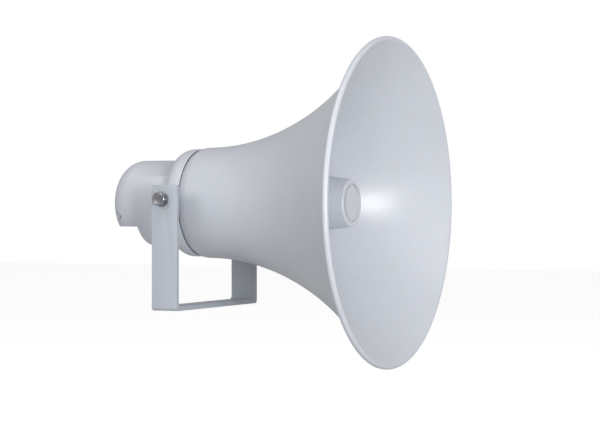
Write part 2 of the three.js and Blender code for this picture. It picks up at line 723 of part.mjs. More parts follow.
// ---- transformer: laminated core with two windows, and the winding around its middle leg ----
const windowInner = core.leg;
const windowOuter = core.width / 2 - core.leg;
const windowHalf = core.height / 2 - core.leg;
function makeCore() {
  const half = core.width / 2;
  const block = box([coreRear, coreFront], [-half, half], [-core.height / 2, core.height / 2]);
  const windows = [[-windowOuter, -windowInner], [windowInner, windowOuter]].map((y) =>
    box([coreRear - 1, coreFront + 1], y, [-windowHalf, windowHalf]),
  );
  return cut(block, ...windows).translate(0, 0, coreCentreZ);
}

function makeWinding() {
  const outer = windowOuter - slip;
  const inner = windowInner + slip;
  const half = windowHalf - slip;
  const coil = box([coreRear - windingOverhang, windingFront], [-outer, outer], [-half, half]);
  const leg = box([coreRear - slip, coreFront + slip], [-inner, inner], [-half - 1, half + 1]);
  return cut(coil, leg).translate(0, 0, coreCentreZ);
}
add(horn, "transformer_core", makeCore(), laminations);
add(horn, "transformer_winding", makeWinding(), copper);

// ---- terminal block on the frame's tongue ----
function makeTerminalBlock() {
  const { width, height, depth, z, poles, screw } = terminalBlock;
  const front = frameRear - seat;
  const block = box([front - depth, front], [-width / 2, width / 2], [z - height / 2, z + height / 2]);
  const wells = Array.from({ length: poles }, (_, i) =>
    rod(X, screw, front - depth - 1, front - depth / 2, 12)
      .translate(0, (i - (poles - 1) / 2) * (width / poles), z),
  );
  return cut(block, ...wells);
}
add(horn, "terminal_block", makeTerminalBlock(), moulded);

// ---- rear cover: a domed cap with a notch for the cable, a cup for the selector and bosses ----
const coverSkin = (grow, from) => {
  const round = coverRound - coverWall + grow;
  const centre = [coverRear + coverRound, coverRadius - coverRound];
  return [
    [from, coverInside + grow],
    ...arc(centre, round, 90, 180, 6),
    [coverRear + coverWall - grow, 0],
  ];
};

// The space below the notch's roof and behind its step, or that space without the walls around it.
function notchTool(grow) {
  const reach = coverRadius + 1;
  const top = -notchTop + grow;
  const front = stepX + grow;
  return box([coverRear - 1, front], [-reach, reach], [-reach, top]);
}

function makeCover() {
  const full = turned(X, [[coverFront, 0], ...coverSkin(coverWall, coverFront)], 40);
  const hollow = turned(X, [[coverFront + 1, 0], ...coverSkin(0, coverFront + 1)], 40);
  const cup = rod(X, selectorCup.radius + coverWall, coverRear - 1, cupFloor + coverWall, 32);
  const boss = rod(X, coverBoss.radius, coverRear, bossFront, 20).translate(0, 0, coverScrewCircle);
  const bosses = turnedTo(coverScrewTurns, boss);
  const room = cut(hollow, notchTool(coverWall), cup, ...bosses);
  const headWell = rod(X, coverScrew.head + slip, coverRear - 1, coverHeadSeat, 20);
  const shank = rod(X, coverScrew.radius + slip, coverHeadSeat - 1, bossFront + 1, 12);
  const wells = [headWell, shank].flatMap((tool) =>
    turnedTo(coverScrewTurns, tool.translate(0, 0, coverScrewCircle)),
  );
  const cupSpace = rod(X, selectorCup.radius, coverRear - 1, cupFloor, 32);
  const shaftHole = rod(X, selector.shaft + slip, cupFloor - 1, cupFloor + coverWall + 1, 16);
  const glandHole = rod(X, gland.radius + slip, stepX - 1, stepX + coverWall + 1, 20);
  glandHole.translate(0, 0, gland.z);
  return cut(full, notchTool(0), room, ...wells, cupSpace, shaftHole, glandHole);
}
add(horn, "rear_cover", makeCover(), greyCoat);

const gasketRear = coverFront + seat;
add(horn, "cover_gasket",
  ring(X, coverScrewCircle + coverScrew.radius + slip, coverRadius, gasketRear, baseRear - seat, 40),
  blackRubber);

const coverHeadFace = coverHeadSeat - seat;
const coverScrewLength = baseRear + coverScrew.depthInBase - coverHeadFace;
const coverScrewShape = makeScrew(coverScrew, 0, -coverScrewLength);
coverScrewShape.rotateZ(Math.PI).translate(coverHeadFace, 0, coverScrewCircle);
turnedTo(coverScrewTurns, coverScrewShape).forEach((shape, i) =>
  add(horn, `cover_screw_${i + 1}`, shape, zincPlate),
);

// ---- tap switch inside the cup's floor, and the selector that turns in the cup ----
const shaftHoleTo = switchRear + tapSwitch.depth - tapSwitch.floor;
add(horn, "tap_switch",
  cut(rod(X, tapSwitch.radius, switchRear, switchRear + tapSwitch.depth, 24),
    rod(X, selector.shaft + slip, switchRear - 1, shaftHoleTo, 16)), moulded);

function makeSelector() {
  const knobFront = cupFloor - seat;
  const knobRear = knobFront - selector.thickness;
  const knob = rod(X, selector.radius, knobRear, knobFront, 32);
  const shaft = rod(X, selector.shaft, knobFront - 1, shaftHoleTo - 2 * seat, 16);
  const slotHalf = selector.slotWidth / 2;
  const slotDepth = [knobRear - 1, knobRear + selector.slotDepth];
  const slotLength = [selector.slotEnd - selector.radius, selector.radius + 1];
  const slot = box(slotDepth, [-slotHalf, slotHalf], slotLength);
  return cut(join(knob, shaft), slot);
}
add(horn, "tap_selector", makeSelector(), moulded);

// ---- cable gland in the notch's step ----
const glandAt = new THREE.Group();
glandAt.position.set(0, 0, gland.z);
horn.add(glandAt);
const glandHexFront = stepX - seat;
const glandHexRear = glandHexFront - gland.hexThickness;
const glandTubeRear = glandHexRear - gland.tubeRear;
const sealSeat = glandHexFront - gland.sealSeat;
const locknutFrom = stepX + coverWall + seat;
const locknutTo = locknutFrom + glandLocknut;

function makeGlandBody() {
  const hex = hexagon(X, gland.flats, glandHexRear, glandHexFront);
  const tube = rod(X, gland.radius, glandTubeRear, locknutTo + tubePastLocknut, 20);
  const bore = rod(X, glandSealRadius + slip, glandTubeRear - 1, sealSeat, 20);
  const through = rod(X, cableRadius + slip, glandTubeRear - 1, locknutTo + tubePastLocknut + 1, 20);
  return cut(join(hex, tube), bore, through);
}

function makeGlandNut() {
  const { radius, length, chamfer } = glandNut;
  const front = glandHexRear - seat;
  const rear = front - length;
  const bore = gland.radius + slip;
  const shelf = glandTubeRear - 2 * seat;
  const outline = [
    [front, bore],
    [front, radius],
    [rear + chamfer, radius],
    [rear, radius - chamfer],
    [rear, cableRadius + slip],
    [shelf, cableRadius + slip],
    [shelf, bore],
  ];
  return turned(X, outline, 24);
}

const sealFront = sealSeat - seat;
const locknut = cut(hexagon(X, gland.flats, locknutFrom, locknutTo),
  rod(X, gland.radius + slip, locknutFrom - 1, locknutTo + 1));
add(glandAt, "gland_body", makeGlandBody(), moulded);
add(glandAt, "gland_nut", makeGlandNut(), moulded);
add(glandAt, "gland_seal",
  ring(X, cableRadius, glandSealRadius, glandTubeRear, sealFront, 20), blackRubber);
add(glandAt, "gland_locknut", locknut, moulded);

// ---- leads inside the rear cover ----
function makeLead(route) {
  const curve = new THREE.CatmullRomCurve3(route.map((p) => new THREE.Vector3(...p)));
  const section = new THREE.Shape();
  section.absarc(0, 0, leadRadius, 0, Math.PI * 2);
  const options = { steps: 14, curveSegments: 4, bevelEnabled: false, extrudePath: curve };
  return new THREE.ExtrudeGeometry(section, options);
}

const windingTop = coreCentreZ + windowHalf - slip;
const windingRear = coreRear - windingOverhang;
const blockRear = frameRear - seat - terminalBlock.depth;
const polePitch = terminalBlock.width / terminalBlock.poles;
[-1, 1].forEach((side, i) => {
  const poleY = (side * polePitch) / 2;
  const fromBlock = [
    [blockRear - seat, poleY, terminalBlock.z],
    [blockRear - 6, poleY, terminalBlock.z - 1],
    [windingRear - 1.5, side * 4, windingTop + 2],
    [windingRear - seat - leadRadius, side * 3.5, windingTop - 4],
  ];
  add(horn, `terminal_lead_${i + 1}`, makeLead(fromBlock), redLead);
});

export default speaker;
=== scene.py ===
"""A grey reflex horn loudspeaker on its U bracket, seen from the front right.

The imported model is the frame. Every outside piece is made again here at full detail, in
metres, in the place that the frame gives for it; the pieces inside keep their own shapes.
"""

import json
import math

import bmesh
import bpy
from mathutils import Matrix, Vector


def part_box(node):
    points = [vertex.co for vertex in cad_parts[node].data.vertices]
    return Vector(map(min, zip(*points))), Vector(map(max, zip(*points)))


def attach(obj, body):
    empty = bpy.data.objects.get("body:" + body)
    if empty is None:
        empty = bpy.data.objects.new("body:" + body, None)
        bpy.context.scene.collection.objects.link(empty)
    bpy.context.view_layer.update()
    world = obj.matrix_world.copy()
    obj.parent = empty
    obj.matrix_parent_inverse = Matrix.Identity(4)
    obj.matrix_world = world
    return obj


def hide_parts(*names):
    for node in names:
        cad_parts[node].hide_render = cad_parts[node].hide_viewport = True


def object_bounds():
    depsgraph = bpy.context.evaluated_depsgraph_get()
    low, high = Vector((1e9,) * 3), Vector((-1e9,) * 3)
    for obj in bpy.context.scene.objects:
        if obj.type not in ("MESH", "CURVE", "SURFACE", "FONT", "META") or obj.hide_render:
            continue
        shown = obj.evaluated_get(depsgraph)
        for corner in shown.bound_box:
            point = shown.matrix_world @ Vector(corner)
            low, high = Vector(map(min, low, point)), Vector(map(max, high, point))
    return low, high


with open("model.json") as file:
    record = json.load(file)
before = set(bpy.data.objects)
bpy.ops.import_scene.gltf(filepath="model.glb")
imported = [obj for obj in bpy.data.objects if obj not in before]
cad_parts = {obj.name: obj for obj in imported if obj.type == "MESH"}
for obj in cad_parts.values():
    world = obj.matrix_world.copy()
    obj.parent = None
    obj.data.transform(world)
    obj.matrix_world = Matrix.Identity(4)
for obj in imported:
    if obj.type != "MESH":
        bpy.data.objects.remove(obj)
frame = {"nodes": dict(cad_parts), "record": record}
cad_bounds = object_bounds()

MM = 0.001

# ---------------------------------------------------------------- places, from the frame
bell_low, bell_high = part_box("horn_bell")
AXIS_Z = (bell_low[2] + bell_high[2]) / 2
bolt_low, bolt_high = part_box("tilt_bolt_left")
TILT_Z = (bolt_low[2] + bolt_high[2]) / 2
HORN = Vector((0, 0, AXIS_Z))
TILT = Vector(((bolt_low[0] + bolt_high[0]) / 2, 0, TILT_Z))

# ---------------------------------------------------------------- sizes the frame doesn't give
SEAT = 0.3 * MM
BEAD_RADIUS = 3.2 * MM
BELL_WALL = 1.6 * MM
RIM_TUCK = 0.94 * MM
NECK_RADIUS = 60.4 * MM
SHOULDER_RADIUS = 20 * MM
LIP_RISE = 11 * MM
LIP_POWER = 7
BELL_HOLE = 12.5 * MM
BOLT_HOLE = 4.3 * MM
STAY_ARM_HALF = 14 * MM
RIM_GAP = 0.9 * MM
BRACKET_STRIP = 4.5 * MM
STAY_STRIP = 3 * MM
CABLE_BORE = 3.3 * MM
GLAND_RADIUS = 5 * MM
GLAND_HOLE = 5.3 * MM
PAINT_EDGE = 0.7 * MM
ROUND_STEPS = 160


# ---------------------------------------------------------------- meshes
def new_object(name, bm, sharp=32):
    """A mesh object from bm, smooth except where faces meet at more than sharp degrees."""
    bmesh.ops.recalc_face_normals(bm, faces=bm.faces)
    mesh = bpy.data.meshes.new(name)
    bm.to_mesh(mesh)
    bm.free()
    for polygon in mesh.polygons:
        polygon.use_smooth = True
    mesh.set_sharp_from_angle(angle=math.radians(sharp))
    obj = bpy.data.objects.new(name, mesh)
    bpy.context.collection.objects.link(obj)
    return obj


def arc(centre, radius, start, end, steps):
    """Points on an arc, with angles in degrees from the first axis towards the second."""
    points = []
    for i in range(steps + 1):
        angle = math.radians(start + (end - start) * i / steps)
        points.append((centre[0] + radius * math.cos(angle), centre[1] + radius * math.sin(angle)))
    return points


def hexagon(flats):
    """A hexagon's corners from its width across flats."""
    corner = flats / math.sqrt(3)
    angles = [math.radians(60 * i) for i in range(6)]
    return [(corner * math.cos(angle), corner * math.sin(angle)) for angle in angles]


def gripped(count, radii, shares):
    """A round outline with count ribs: radii at each share of the way along a rib."""
    points = []
    for i in range(count):
        for share, radius in zip(shares, radii):
            angle = 2 * math.pi * (i + share) / count
            points.append((radius * math.cos(angle), radius * math.sin(angle)))
    return points


def eased(corners, steps=4):
    """An outline from corners (a, b) or (a, b, radius), with each radius as a true arc."""
    points = []
    count = len(corners)
    for i, corner in enumerate(corners):
        radius = corner[2] if len(corner) > 2 else 0
        here = Vector(corner[:2])
        if not radius:
            points.append(tuple(here))
            continue
        before = (Vector(corners[i - 1][:2]) - here).normalized()
        after = (Vector(corners[(i + 1) % count][:2]) - here).normalized()
        half = before.angle(after) / 2
        reach = radius / math.tan(half)
        centre = here + (before + after).normalized() * (radius / math.sin(half))
        first = here + before * reach - centre
        last = here + after * reach - centre
        turn = math.atan2(first.cross(last), first.dot(last))
        for step in range(steps + 1):
            spun = Matrix.Rotation(turn * step / steps, 2) @ first
            points.append(tuple(centre + spun))
    return points


def basis(axis, origin):
    """(position along the axis, radius, angle) to a point, around a line along X or Y."""
    if axis == "X":
        return lambda p, r, t: origin + Vector((p, r * math.cos(t), r * math.sin(t)))
    return lambda p, r, t: origin + Vector((r * math.cos(t), p, r * math.sin(t)))


def turned(name, outline, axis="X", origin=HORN, sides=ROUND_STEPS, sharp=32):
    """A solid of revolution from a closed outline of (position, radius)."""
    place = basis(axis, origin)
    bm = bmesh.new()
    rings = []
    for p, r in outline:
        if r < 1e-7:
            rings.append([bm.verts.new(place(p, 0, 0))])
        else:
            turns = [2 * math.pi * i / sides for i in range(sides)]
            rings.append([bm.verts.new(place(p, r, t)) for t in turns])
    for ring, following in zip(rings, rings[1:] + rings[:1]):
        if len(ring) == 1 and len(following) == 1:
            continue
        for i in range(sides):
            j = (i + 1) % sides
            corners = [ring[i % len(ring)], ring[j % len(ring)]]
            corners += [following[j % len(following)], following[i % len(following)]]
            face = list(dict.fromkeys(corners))
            if len(face) > 2:
                bm.faces.new(face)
    return new_object(name, bm, sharp)


def prism(name, outline, axis, low, high, origin=Vector()):
    """An outline pushed along an axis: (y, z) for X, (x, z) for Y and (x, y) for Z."""
    order = {"X": (1, 2, 0), "Y": (0, 2, 1), "Z": (0, 1, 2)}[axis]
    bm = bmesh.new()
    ends = []
    for level in (low, high):
        ring = []
        for a, b in outline:
            point = Vector()
            point[order[0]], point[order[1]], point[order[2]] = a, b, level
            ring.append(bm.verts.new(origin + point))
        ends.append(ring)
    bm.faces.new(ends[0])
    bm.faces.new(ends[1])
    count = len(outline)
    for i in range(count):
        j = (i + 1) % count
        bm.faces.new((ends[0][i], ends[0][j], ends[1][j], ends[1][i]))
    return new_object(name, bm)


def rod(axis, radius, low, high, origin=HORN, sides=48):
    """A plain cylinder, mostly used as a cutting tool."""
    outline = [(low, 0), (low, radius), (high, radius), (high, 0)]
    return turned("tool", outline, axis, origin, sides)


def block(x, y, z, origin=Vector()):
    """A box from its extents along each axis."""
    outline = [(y[0], z[0]), (y[1], z[0]), (y[1], z[1]), (y[0], z[1])]
    return prism("tool", outline, "X", x[0], x[1], origin)


def settle(obj, sharp=32):
    """Turns obj's modifiers into its mesh."""
    depsgraph = bpy.context.evaluated_depsgraph_get()
    mesh = bpy.data.meshes.new_from_object(obj.evaluated_get(depsgraph))
    obj.modifiers.clear()
    old = obj.data
    obj.data = mesh
    bpy.data.meshes.remove(old)
    for polygon in mesh.polygons:
        polygon.use_smooth = True
    mesh.set_sharp_from_angle(angle=math.radians(sharp))
    return obj


def combine(obj, operation, tools):
    """Adds, cuts or keeps what is shared with each tool, and uses the tools up."""
    for tool in tools:
        modifier = obj.modifiers.new(operation, "BOOLEAN")
        modifier.operation = operation
        modifier.solver = "EXACT"
        modifier.object = tool
        settle(obj)
        bpy.data.objects.remove(tool)
    return obj


def soften(obj, width=PAINT_EDGE, segments=3, angle=40):
    """Rounds obj's edges as paint or a tumbled blank has them."""
    modifier = obj.modifiers.new("soften", "BEVEL")
    modifier.width = width
    modifier.segments = segments
    modifier.limit_method = "ANGLE"
    modifier.angle_limit = math.radians(angle)
    modifier.harden_normals = False
    return settle(obj, 50)


# ---------------------------------------------------------------- materials
class Nodes:
    """A short way to write a material's node tree."""

    def __init__(self, name):
        self.material = bpy.data.materials.new(name)
        self.material.use_nodes = True
        self.tree = self.material.node_tree
        self.shader = self.tree.nodes["Principled BSDF"]
        coordinates = self.tree.nodes.new("ShaderNodeTexCoord")
        self.place = coordinates.outputs["Object"]

    def add(self, kind, inputs=None, **settings):
        node = self.tree.nodes.new(kind)
        for key, value in settings.items():
            setattr(node, key, value)
        for key, value in (inputs or {}).items():
            if isinstance(value, bpy.types.NodeSocket):
                self.tree.links.new(value, node.inputs[key])
            else:
                node.inputs[key].default_value = value
        return node

    def noise(self, scale, detail=2.0, roughness=0.5, place=None):
        place = place or self.place
        inputs = {"Vector": place, "Scale": scale, "Detail": detail, "Roughness": roughness}
        return self.add("ShaderNodeTexNoise", inputs).outputs["Fac"]

    def stretched(self, factors):
        node = self.add("ShaderNodeMapping", {"Vector": self.place, "Scale": factors})
        return node.outputs["Vector"]

    def span(self, value, low, high, to_low, to_high):
        inputs = {"Value": value, "From Min": low, "From Max": high}
        inputs.update({"To Min": to_low, "To Max": to_high})
        return self.add("ShaderNodeMapRange", inputs).outputs["Result"]

    def blend(self, share, first, second):
        node = self.add("ShaderNodeMix", data_type="RGBA")
        for socket, value in ((0, share), (6, first), (7, second)):
            if isinstance(value, bpy.types.NodeSocket):
                self.tree.links.new(value, node.inputs[socket])
            else:
                node.inputs[socket].default_value = value
        return node.outputs[2]

    def bump(self, layers):
        """Chains bumps: (height, strength, distance in metres)."""
        normal = None
        for height, strength, distance in layers:
            inputs = {"Height": height, "Strength": strength, "Distance": distance}
            if normal:
                inputs["Normal"] = normal
            normal = self.add("ShaderNodeBump", inputs).outputs["Normal"]
        self.tree.links.new(normal, self.shader.inputs["Normal"])

    def colour(self, value):
        self.tree.links.new(value, self.shader.inputs["Base Color"])

    def roughness(self, value):
        self.tree.links.new(value, self.shader.inputs["Roughness"])

    def fixed(self, **values):
        for key, value in values.items():
            self.shader.inputs[key.replace("_", " ")].default_value = value


def shade(red, green, blue, factor=1.0):
    """An sRGB colour, 0 to 255, as the linear colour that a shader takes."""
    def linear(value):
        value = value / 255
        return value / 12.92 if value <= 0.04045 else ((value + 0.055) / 1.055) ** 2.4
    return tuple(linear(v) * factor for v in (red, green, blue)) + (1.0,)


def powder_coat(name, red, green, blue, gloss=0.40):
    """Sprayed and baked paint: a soft orange peel, faint clouding, specks and thin dust."""
    n = Nodes(name)
    clouds = n.span(n.noise(9, 4, 0.55), 0.3, 0.7, 0, 1)
    tint = n.blend(clouds, shade(red, green, blue, 0.965), shade(red, green, blue, 1.03))
    specks = n.span(n.noise(900, 1), 0.66, 0.74, 0, 0.35)
    tint = n.blend(specks, tint, shade(red - 26, green - 26, blue - 26))
    dust = n.span(n.noise(55, 6, 0.7), 0.52, 0.8, 0, 0.16)
    n.colour(n.blend(dust, tint, shade(red - 12, green - 16, blue - 26)))
    n.roughness(n.span(n.noise(30, 5, 0.6), 0.3, 0.7, gloss - 0.05, gloss + 0.07))
    n.fixed(Metallic=0.0, Specular_IOR_Level=0.6, Coat_Weight=0.3, Coat_Roughness=0.3)
    n.bump([
        (n.noise(420, 2, 0.55), 0.16, 0.0006),
        (n.noise(1600, 1), 0.05, 0.0002),
        (n.noise(14, 2), 0.05, 0.004),
    ])
    return n.material


def turned_metal(name, red, green, blue, rough, grain_along):
    """Machined or rolled metal: fine lines across the grain direction, and light stains."""
    n = Nodes(name)
    factors = [1.0, 1.0, 1.0]
    factors[grain_along] = 0.04
    lines = n.noise(2600, 3, 0.6, n.stretched(factors))
    stains = n.span(n.noise(160, 5, 0.65), 0.35, 0.75, 0, 0.55)
    n.colour(n.blend(stains, shade(red, green, blue), shade(red - 46, green - 46, blue - 42)))
    n.roughness(n.span(lines, 0.3, 0.7, rough - 0.08, rough + 0.12))
    n.fixed(Metallic=1.0)
    n.bump([(lines, 0.12, 0.0001), (n.noise(300, 3), 0.06, 0.0003)])
    return n.material


def moulding(name, red, green, blue, rough, texture=1400):
    """Moulded plastic or rubber with a spark-eroded grain and pale scuffs."""
    n = Nodes(name)
    patches = n.span(n.noise(40, 4), 0.3, 0.7, 0, 1)
    tint = n.blend(patches, shade(red, green, blue, 0.85), shade(red, green, blue, 1.15))
    scuffs = n.span(n.noise(260, 4, 0.7), 0.6, 0.8, 0, 0.4)
    n.colour(n.blend(scuffs, tint, shade(red + 26, green + 26, blue + 26)))
    n.roughness(n.span(n.noise(90, 4), 0.3, 0.7, rough - 0.06, rough + 0.08))
    n.bump([(n.noise(texture, 2, 0.6), 0.25, 0.0002), (n.noise(60, 2), 0.04, 0.001)])
    return n.material


def film(name, red, green, blue):
    """Pressed resin cloth, with the weave showing through."""
    n = Nodes(name)
    wave = {"Vector": n.place, "Scale": 420.0, "Distortion": 0.4}
    across = n.add("ShaderNodeTexWave", wave, bands_direction="Y").outputs["Fac"]
    down = n.add("ShaderNodeTexWave", wave, bands_direction="Z").outputs["Fac"]
    weave = n.add("ShaderNodeMath", {0: across, 1: down}, operation="MAXIMUM").outputs[0]
    n.colour(n.blend(weave, shade(red - 40, green - 34, blue - 20), shade(red, green, blue)))
    n.roughness(n.span(n.noise(80, 3), 0.3, 0.7, 0.42, 0.6))
    n.bump([(weave, 0.3, 0.0002)])
    return n.material


def wound(name, red, green, blue, axis):
    """Enamelled wire laid turn by turn along an axis."""
    n = Nodes(name)
    wave = {"Vector": n.place, "Scale": 900.0, "Distortion": 0.3, "Detail": 1.0}
    turns = n.add("ShaderNodeTexWave", wave, bands_direction=axis).outputs["Fac"]
    n.colour(n.blend(turns, shade(red - 70, green - 50, blue - 30), shade(red, green, blue)))
    n.roughness(n.span(n.noise(120, 3), 0.3, 0.7, 0.28, 0.45))
    n.fixed(Metallic=0.85)
    n.bump([(turns, 0.5, 0.0003)])
    return n.material


def stacked_iron(name):
    """Varnished laminations, edge on."""
    n = Nodes(name)
    wave = {"Vector": n.place, "Scale": 320.0, "Distortion": 0.6, "Detail": 2.0}
    sheets = n.add("ShaderNodeTexWave", wave, bands_direction="X").outputs["Fac"]
    n.colour(n.blend(sheets, shade(58, 58, 62), shade(132, 134, 138)))
    n.roughness(n.span(n.noise(150, 4), 0.3, 0.7, 0.35, 0.6))
    n.fixed(Metallic=0.7)
    n.bump([(sheets, 0.4, 0.0002)])
    return n.material


def sintered(name):
    """Dark ferrite, ground on its faces, with chipped edges."""
    n = Nodes(name)
    grain = n.noise(1800, 3, 0.7)
    n.colour(n.blend(grain, shade(38, 38, 41), shade(66, 66, 70)))
    n.roughness(n.span(grain, 0.3, 0.7, 0.6, 0.8))
    n.bump([(grain, 0.3, 0.0002), (n.noise(220, 3), 0.2, 0.0005)])
    return n.material


GREY = (200, 204, 212)
paint = powder_coat("grey_powder_coat", *GREY)
bracket_paint = powder_coat("bracket_powder_coat", 176, 182, 191)
bell_paint = powder_coat("bell_powder_coat", *GREY, gloss=0.36)
steel = turned_metal("bright_stainless_steel", 168, 168, 172, 0.24, 1)
zinc = turned_metal("zinc_plated_steel", 176, 178, 176, 0.38, 0)
rubber = moulding("black_rubber", 34, 34, 36, 0.75, 900)
plastic = moulding("black_moulding", 42, 42, 45, 0.5)
resin = film("phenolic_cloth", 176, 112, 54)
wire = wound("copper_turns", 196, 124, 72, "X")
winding_wire = wound("transformer_turns", 186, 112, 62, "Z")
iron = stacked_iron("core_laminations")
ferrite = sintered("ferrite")
insulation = moulding("red_insulation", 150, 38, 32, 0.45, 600)


# ---------------------------------------------------------------- painting and hanging the pieces
def dress(obj, body, material, node):
    """Paints obj, hangs it on its body's empty and hides the CAD node that it replaces."""
    obj.data.materials.clear()
    obj.data.materials.append(material)
    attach(obj, body)
    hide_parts(node)


# ---------------------------------------------------------------- bell
def make_bell():
    """Spun from one sheet: flat base, rounded shoulder, flare, and a rim rolled into a bead."""
    rear = bell_low[0]
    shoulder = (rear + SHOULDER_RADIUS, NECK_RADIUS - SHOULDER_RADIUS)
    mouth = bell_high[1]
    rise = mouth - BEAD_RADIUS - RIM_TUCK - NECK_RADIUS - LIP_RISE
    bead_x = bell_high[0] - BEAD_RADIUS

    def slope(t, length):
        climb = 2 * rise * t + LIP_POWER * LIP_RISE * t ** (LIP_POWER - 1)
        return math.atan2(climb, length)

    length = bead_x - shoulder[0]
    for _ in range(4):
        length = bead_x - shoulder[0] + (BEAD_RADIUS - BELL_WALL) * math.sin(slope(1, length))

    def at(t, inward):
        angle = slope(t, length)
        x = shoulder[0] + length * t
        radius = NECK_RADIUS + rise * t ** 2 + LIP_RISE * t ** LIP_POWER
        return (x + inward * math.sin(angle), radius - inward * math.cos(angle))

    steps = 56
    shares = [math.sin(math.pi / 2 * i / steps) for i in range(1, steps)]
    bead = at(1, BELL_WALL - BEAD_RADIUS)
    face = math.degrees(slope(1, length)) - 90
    outline = [(rear, BELL_HOLE)]
    outline += arc(shoulder, SHOULDER_RADIUS, 180, 90, 28)
    outline += [at(t, 0) for t in shares if at(t, 0)[0] < bead[0] - BEAD_RADIUS * 0.8]
    outline += arc(bead, BEAD_RADIUS, face + 232, face, 36)
    outline += [at(t, BELL_WALL) for t in reversed(shares)]
    outline += arc(shoulder, SHOULDER_RADIUS - BELL_WALL, 90, 180, 28)
    outline += [(rear + BELL_WALL, BELL_HOLE)]
    return turned("horn_bell_spun", outline, sides=256)


dress(make_bell(), "horn", bell_paint, "horn_bell")


# ---------------------------------------------------------------- reflector
def make_reflector():
    """A cast cup, open at the back, with a recess in its face for the cap."""
    low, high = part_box("reflector_cup")
    cap_low, cap_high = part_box("reflector_cap")
    front, rear = high[0], low[0]
    rear_radius = high[1]
    front_radius = 25.2 * MM
    wall = 1.6 * MM
    cap_radius = cap_high[1] + SEAT
    recess = cap_low[0] - SEAT
    closed = front - 6 * MM
    screw_hole = 4.9 * MM
    outline = eased([
        (rear, rear_radius - wall, 0.5 * MM),
        (rear, rear_radius, 0.7 * MM),
        (front, front_radius, 2 * MM),
        (front, cap_radius, 0.5 * MM),
        (recess, cap_radius),
        (recess, screw_hole),
        (closed, screw_hole),
        (closed, front_radius - wall, 4 * MM),
    ], 6)
    return turned("reflector_cup_cast", outline)


def make_reflector_cap():
    """The disc in the reflector's face, a little crowned, with a fine turned step."""
    low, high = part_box("reflector_cap")
    radius = high[1]
    step = 0.25 * MM
    outline = [(low[0], 0), (low[0], radius)]
    outline += eased([
        (high[0] - step, radius, 0.4 * MM),
        (high[0] - step, radius - 1.6 * MM),
        (high[0], radius - 2.0 * MM, 0.15 * MM),
        (high[0] - step * 0.4, 0),
    ])
    return turned("reflector_cap_disc", outline)


dress(make_reflector(), "horn", bell_paint, "reflector_cup")
dress(make_reflector_cap(), "horn", bell_paint, "reflector_cap")


# ---------------------------------------------------------------- driver base
def make_driver_base():
    """Cast: a plate behind the bell, with a rim that comes forward around the bell's shoulder."""
    low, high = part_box("driver_base")
    front, rear = high[0], low[0]
    outside = high[2] - AXIS_Z
    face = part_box("stay_plate")[0][0] - SEAT
    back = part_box("cover_gasket")[1][0] + SEAT
    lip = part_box("rear_cover")[1][1] + SEAT
    lip_outside = lip + 1.2 * MM
    shoulder = (bell_low[0] + SHOULDER_RADIUS, NECK_RADIUS - SHOULDER_RADIUS)
    reach = SHOULDER_RADIUS + RIM_GAP
    inside = arc(shoulder, reach, 146, math.degrees(math.acos((front - shoulder[0]) / reach)), 24)
    round_from = front - 7.4 * MM
    quarter = arc((0, 0), 1, 90, 158, 24)
    end_x, end_r = quarter[-1]
    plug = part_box("phase_plug")[1][1] + SEAT
    outline = [(face, 10 * MM), (face, inside[0][1]), *inside, (front, outside)]
    for x, r in quarter:
        share = (r - end_r) / (1 - end_r)
        radius = lip_outside + (outside - lip_outside) * share
        outline.append((round_from + (rear - round_from) * x / end_x, radius))
    outline += [(rear, lip), (back, lip), (back, plug), (face - 4 * MM, plug)]
    outline += [(face - 4 * MM, plug - 3 * MM), (face - 1.5 * MM, 10 * MM)]
    base = turned("driver_base_cast", outline)
    half = STAY_ARM_HALF + 0.5 * MM
    passage = block((face, front + MM), (-0.1, 0.1), (TILT_Z - half, TILT_Z + half))
    return soften(combine(base, "DIFFERENCE", [passage]), 0.35 * MM, 2, 35)


dress(make_driver_base(), "horn", paint, "driver_base")


# ---------------------------------------------------------------- U bracket and stay plate
def bent_outline(half, height, thickness, inside, outside, steps=12):
    """A strip bent into a U, open towards +b, with the middle of its back at the origin."""
    inset = inside + thickness
    points = [(-half, height)]
    points += arc((-half + outside, outside), outside, 180, 270, steps)
    points += arc((half - outside, outside), outside, 270, 360, steps)
    points += [(half, height), (half - thickness, height)]
    points += arc((half - inset, inset), inside, 0, -90, steps)
    points += arc((-half + inset, inset), inside, -90, -180, steps)
    points += [(-half + thickness, height)]
    return points


def make_bracket():
    """One strip bent into a U, with the tilt bolts' holes and three fixing holes in its bar."""
    low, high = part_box("u_bracket")
    outline = bent_outline(high[1], high[2], BRACKET_STRIP, 4.5 * MM, 4 * MM)
    bracket = prism("u_bracket_strip", outline, "X", low[0], high[0])
    tools = [rod("Y", BOLT_HOLE, low[1] - MM, high[1] + MM, TILT, 40)]
    sides = 40
    for y, radius in ((-40 * MM, 4.25 * MM), (0, 5.25 * MM), (40 * MM, 4.25 * MM)):
        circle = arc((0, y), radius, 0, 360 * (sides - 1) / sides, sides - 1)
        tools.append(prism("tool", circle, "Z", -MM, BRACKET_STRIP + MM))
    return soften(combine(bracket, "DIFFERENCE", tools), 1.6 * MM, 5)


